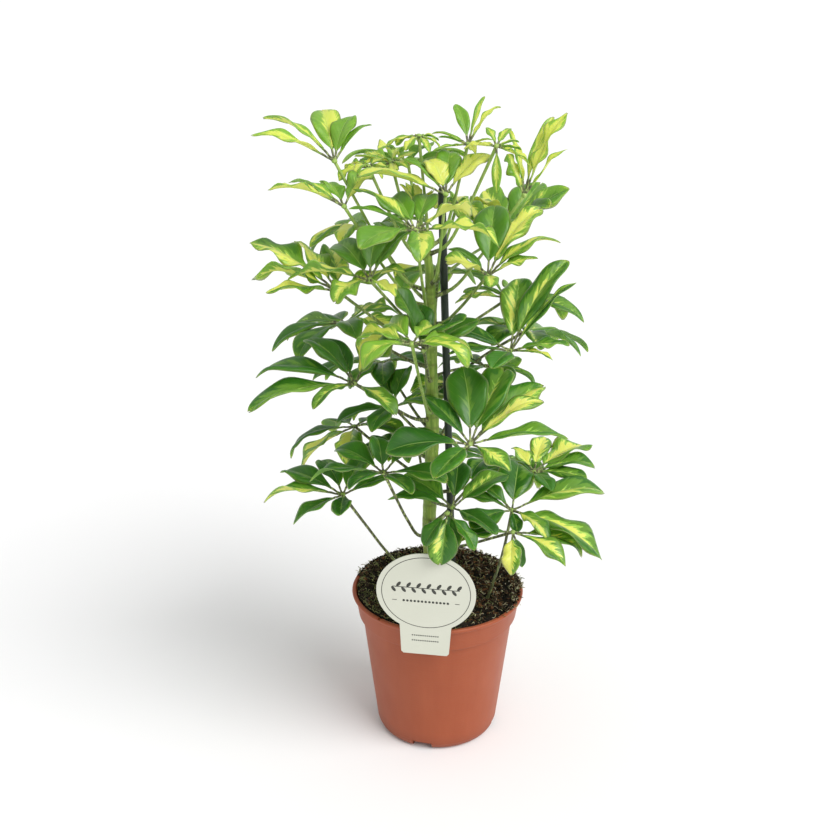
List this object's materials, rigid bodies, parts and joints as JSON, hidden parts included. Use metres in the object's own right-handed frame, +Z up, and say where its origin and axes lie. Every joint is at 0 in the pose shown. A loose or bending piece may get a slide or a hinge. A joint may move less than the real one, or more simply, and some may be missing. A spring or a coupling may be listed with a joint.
{
  "type": "potted umbrella plant",
  "caption": "Variegated dwarf umbrella plant with rings of gold and green leaflets, in a terracotta-coloured plastic nursery pot with a stake and a card label.",
  "frame": {"origin": "on the surface that the pot stands on, under the middle of the whole plant's box, which is the pot's middle line within 3 mm", "axes": "+Z up, along the stem; -Y towards the front, where the label hangs"},
  "size_m": [0.2282, 0.206, 0.4395],
  "materials": {
    "pot_plastic": "satin",
    "potting_soil": "rough",
    "stake_plastic": "satin",
    "green_stem": "satin",
    "label_card": "matte",
    "young_leaf": "semi-gloss",
    "leaf": "semi-gloss"
  },
  "bodies": {
    "root": {"pot": "pot_plastic", "soil": "potting_soil", "stake": "stake_plastic", "stem": "green_stem", "label": "label_card", "young_shoot": "young_leaf", "frond_01": "young_leaf", "frond_02": "young_leaf", "frond_03": "young_leaf", "frond_04": "young_leaf", "frond_05": "young_leaf", "frond_06": "young_leaf", "frond_07": "young_leaf", "frond_08": "young_leaf", "frond_09": "young_leaf", "frond_10": "leaf", "frond_11": "leaf", "frond_12": "leaf", "frond_13": "leaf", "frond_14": "leaf", "frond_15": "leaf", "frond_16": "young_leaf", "frond_17": "leaf", "frond_18": "leaf", "frond_19": "leaf", "frond_20": "leaf", "frond_21": "leaf", "frond_22": "leaf", "frond_23": "leaf", "frond_24": "leaf", "frond_25": "leaf", "frond_26": "leaf", "frond_27": "leaf", "frond_28": "leaf", "frond_29": "leaf", "frond_30": "leaf", "frond_31": "leaf", "frond_32": "leaf", "frond_33": "leaf", "frond_34": "leaf", "frond_35": "leaf", "frond_36": "leaf", "frond_37": "leaf", "frond_38": "leaf", "frond_39": "leaf", "frond_40": "leaf", "frond_41": "leaf"}
  },
  "joints": []
}
